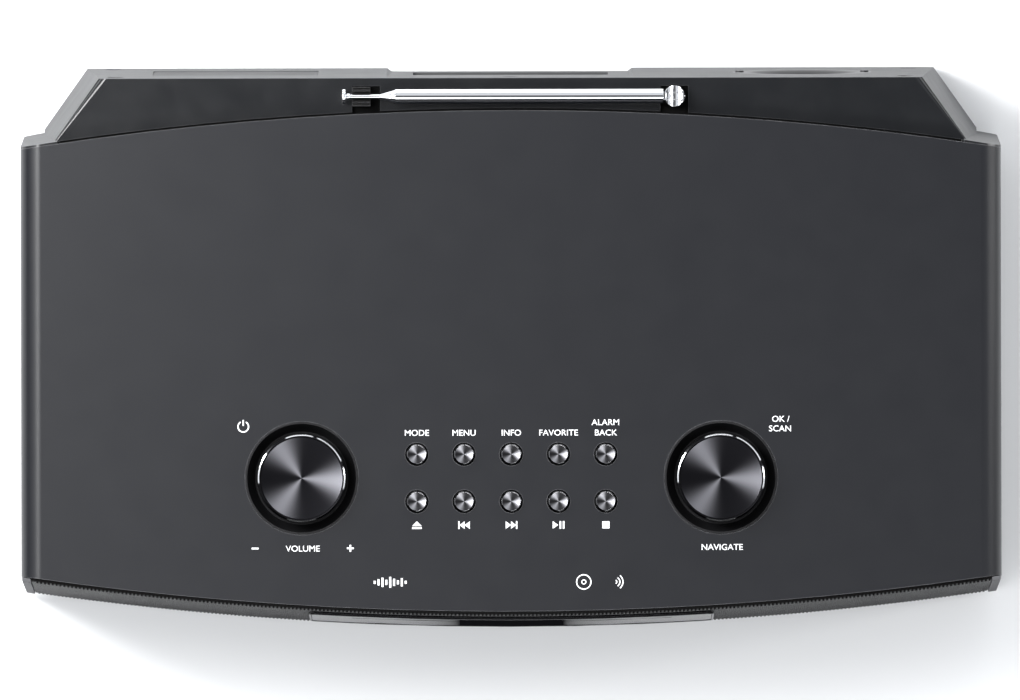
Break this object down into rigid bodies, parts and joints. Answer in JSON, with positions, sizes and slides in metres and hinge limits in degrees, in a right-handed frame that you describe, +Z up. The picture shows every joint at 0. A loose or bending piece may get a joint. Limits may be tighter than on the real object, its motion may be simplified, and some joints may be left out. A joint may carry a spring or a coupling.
{
  "type": "tabletop radio",
  "caption": "Wide tabletop radio with a bowed grille, top keys, two push-and-turn knobs in wells, a disc slot and a folding telescopic aerial on a rear ledge.",
  "frame": {"origin": "middle of the footprint, on the surface that the radio stands on", "axes": "+X to the right seen from the front, +Y to the rear, +Z up"},
  "size_m": [0.38, 0.2184, 0.124],
  "materials": {
    "sleeve_wrap": "satin charcoal foil with a fine linen emboss",
    "cover_plastic": "fine spark texture",
    "frame_black": "satin black",
    "cap_grey": "satin grey",
    "grille_steel": "perforated, black powder coat",
    "baffle_plastic": "moulded black",
    "fascia_rim": "polished dark rim",
    "fascia_gloss": "piano black",
    "slot_felt": "black felt",
    "screen": "unlit colour display",
    "plated_steel": "zinc plated",
    "board": "green solder mask",
    "raw_aluminium": "extruded",
    "switch_black": "moulded black",
    "well_black": "satin black cup",
    "basket_black": "black powder coat",
    "magnet": "ferrite",
    "cone_paper": "pressed black paper",
    "rubber": "soft black",
    "clip_black": "springy black plastic",
    "label_foil": "blank satin plate",
    "screw_black": "blackened steel",
    "knob_metal": "spun, anodised dark grey",
    "key_metal": "spun, polished edge",
    "chrome": "polished"
  },
  "bodies": {
    "cabinet": {"sleeve_top": "sleeve_wrap", "sleeve_sides": "sleeve_wrap", "sleeve_floor": "sleeve_wrap", "rear_cover": "cover_plastic", "front_frame": "frame_black", "frame_end_caps": "cap_grey", "speaker_grille": "grille_steel", "front_baffle": "baffle_plastic", "fascia_surround": "fascia_rim", "fascia_lens": "fascia_gloss", "cd_slot_lips": "slot_felt", "display_module": "screen", "cd_chassis": "plated_steel", "cd_guide_rods": "plated_steel", "main_board": "board", "heat_sink": "raw_aluminium", "key_board": "board", "key_switches": "switch_black", "encoders": "plated_steel", "knob_wells": "well_black", "speaker_baskets": "basket_black", "speaker_magnets": "magnet", "speaker_cones": "cone_paper", "cone_surrounds": "rubber", "port_tube": "baffle_plastic", "antenna_socket": "frame_black", "antenna_clip": "clip_black", "jack_plate": "cover_plastic", "dc_inlet": "switch_black", "audio_jacks": "switch_black", "usb_socket": "plated_steel", "rating_plate": "label_foil", "feet": "rubber", "screws": "screw_black"},
    "volume_press": {"volume_plunger": "switch_black"},
    "volume_turn": {"volume_shaft": "plated_steel", "volume_knob": "knob_metal"},
    "navigate_press": {"navigate_plunger": "switch_black"},
    "navigate_turn": {"navigate_shaft": "plated_steel", "navigate_knob": "knob_metal"},
    "key_mode": {"key_mode": "key_metal"},
    "key_menu": {"key_menu": "key_metal"},
    "key_info": {"key_info": "key_metal"},
    "key_favourite": {"key_favourite": "key_metal"},
    "key_alarm": {"key_alarm": "key_metal"},
    "key_eject": {"key_eject": "key_metal"},
    "key_previous": {"key_previous": "key_metal"},
    "key_next": {"key_next": "key_metal"},
    "key_play": {"key_play": "key_metal"},
    "key_stop": {"key_stop": "key_metal"},
    "antenna_swivel": {"antenna_turret": "chrome"},
    "antenna_tube": {"antenna_base": "chrome"},
    "antenna_2": {"antenna_section_2": "chrome"},
    "antenna_3": {"antenna_section_3": "chrome"},
    "antenna_4": {"antenna_section_4": "chrome"},
    "antenna_5": {"antenna_section_5": "chrome"},
    "antenna_end": {"antenna_rod": "chrome"},
    "disc_turntable": {"cd_turntable": "switch_black"},
    "disc_pickup": {"cd_pickup": "switch_black"},
    "disc_roller": {"cd_feed_roller": "rubber"}
  },
  "joints": [
    {"name": "volume_knob_press", "type": "slide", "parent": "cabinet", "child": "volume_press", "axis": [0, 0, -1], "range_m": [0, 0.0008], "stiffness_N_per_m": 1500, "springref_m": -0.0008},
    {"name": "volume_knob_turn", "type": "hinge", "parent": "volume_press", "child": "volume_turn", "pos_m": [-0.0812, -0.0506, 0.116], "axis": [0, 0, 1], "continuous": true},
    {"name": "navigate_knob_press", "type": "slide", "parent": "cabinet", "child": "navigate_press", "axis": [0, 0, -1], "range_m": [0, 0.0008], "stiffness_N_per_m": 1500, "springref_m": -0.0008},
    {"name": "navigate_knob_turn", "type": "hinge", "parent": "navigate_press", "child": "navigate_turn", "pos_m": [0.0812, -0.0506, 0.116], "axis": [0, 0, 1], "continuous": true},
    {"name": "key_mode_press", "type": "slide", "parent": "cabinet", "child": "key_mode", "axis": [0, 0, -1], "range_m": [0, 0.0008], "stiffness_N_per_m": 900, "springref_m": -0.0008},
    {"name": "key_menu_press", "type": "slide", "parent": "cabinet", "child": "key_menu", "axis": [0, 0, -1], "range_m": [0, 0.0008], "stiffness_N_per_m": 900, "springref_m": -0.0008},
    {"name": "key_info_press", "type": "slide", "parent": "cabinet", "child": "key_info", "axis": [0, 0, -1], "range_m": [0, 0.0008], "stiffness_N_per_m": 900, "springref_m": -0.0008},
    {"name": "key_favourite_press", "type": "slide", "parent": "cabinet", "child": "key_favourite", "axis": [0, 0, -1], "range_m": [0, 0.0008], "stiffness_N_per_m": 900, "springref_m": -0.0008},
    {"name": "key_alarm_press", "type": "slide", "parent": "cabinet", "child": "key_alarm", "axis": [0, 0, -1], "range_m": [0, 0.0008], "stiffness_N_per_m": 900, "springref_m": -0.0008},
    {"name": "key_eject_press", "type": "slide", "parent": "cabinet", "child": "key_eject", "axis": [0, 0, -1], "range_m": [0, 0.0008], "stiffness_N_per_m": 900, "springref_m": -0.0008},
    {"name": "key_previous_press", "type": "slide", "parent": "cabinet", "child": "key_previous", "axis": [0, 0, -1], "range_m": [0, 0.0008], "stiffness_N_per_m": 900, "springref_m": -0.0008},
    {"name": "key_next_press", "type": "slide", "parent": "cabinet", "child": "key_next", "axis": [0, 0, -1], "range_m": [0, 0.0008], "stiffness_N_per_m": 900, "springref_m": -0.0008},
    {"name": "key_play_press", "type": "slide", "parent": "cabinet", "child": "key_play", "axis": [0, 0, -1], "range_m": [0, 0.0008], "stiffness_N_per_m": 900, "springref_m": -0.0008},
    {"name": "key_stop_press", "type": "slide", "parent": "cabinet", "child": "key_stop", "axis": [0, 0, -1], "range_m": [0, 0.0008], "stiffness_N_per_m": 900, "springref_m": -0.0008},
    {"name": "antenna_swing", "type": "hinge", "parent": "cabinet", "child": "antenna_swivel", "pos_m": [0.0635, 0.0972, 0.1111], "axis": [0, 0, 1], "range_deg": [-180, 0], "deforming": ["antenna_clip"]},
    {"name": "antenna_raise", "type": "hinge", "parent": "antenna_swivel", "child": "antenna_tube", "pos_m": [0.0635, 0.0972, 0.1111], "axis": [0, 1, 0], "range_deg": [0, 90]},
    {"name": "antenna_2_slide", "type": "slide", "parent": "antenna_tube", "child": "antenna_2", "axis": [-1, 0, 0], "range_m": [0, 0.088]},
    {"name": "antenna_3_slide", "type": "slide", "parent": "antenna_2", "child": "antenna_3", "axis": [-1, 0, 0], "range_m": [0, 0.088]},
    {"name": "antenna_4_slide", "type": "slide", "parent": "antenna_3", "child": "antenna_4", "axis": [-1, 0, 0], "range_m": [0, 0.088]},
    {"name": "antenna_5_slide", "type": "slide", "parent": "antenna_4", "child": "antenna_5", "axis": [-1, 0, 0], "range_m": [0, 0.088]},
    {"name": "antenna_end_slide", "type": "slide", "parent": "antenna_5", "child": "antenna_end", "axis": [-1, 0, 0], "range_m": [0, 0.088]},
    {"name": "disc_spin", "type": "hinge", "parent": "cabinet", "child": "disc_turntable", "pos_m": [0, -0.0164, 0.0754], "axis": [0, 0, 1], "continuous": true},
    {"name": "pickup_slide", "type": "slide", "parent": "cabinet", "child": "disc_pickup", "axis": [0, 1, 0], "range_m": [0, 0.034]},
    {"name": "roller_spin", "type": "hinge", "parent": "cabinet", "child": "disc_roller", "pos_m": [0, -0.0784, 0.0774], "axis": [1, 0, 0], "continuous": true}
  ]
}
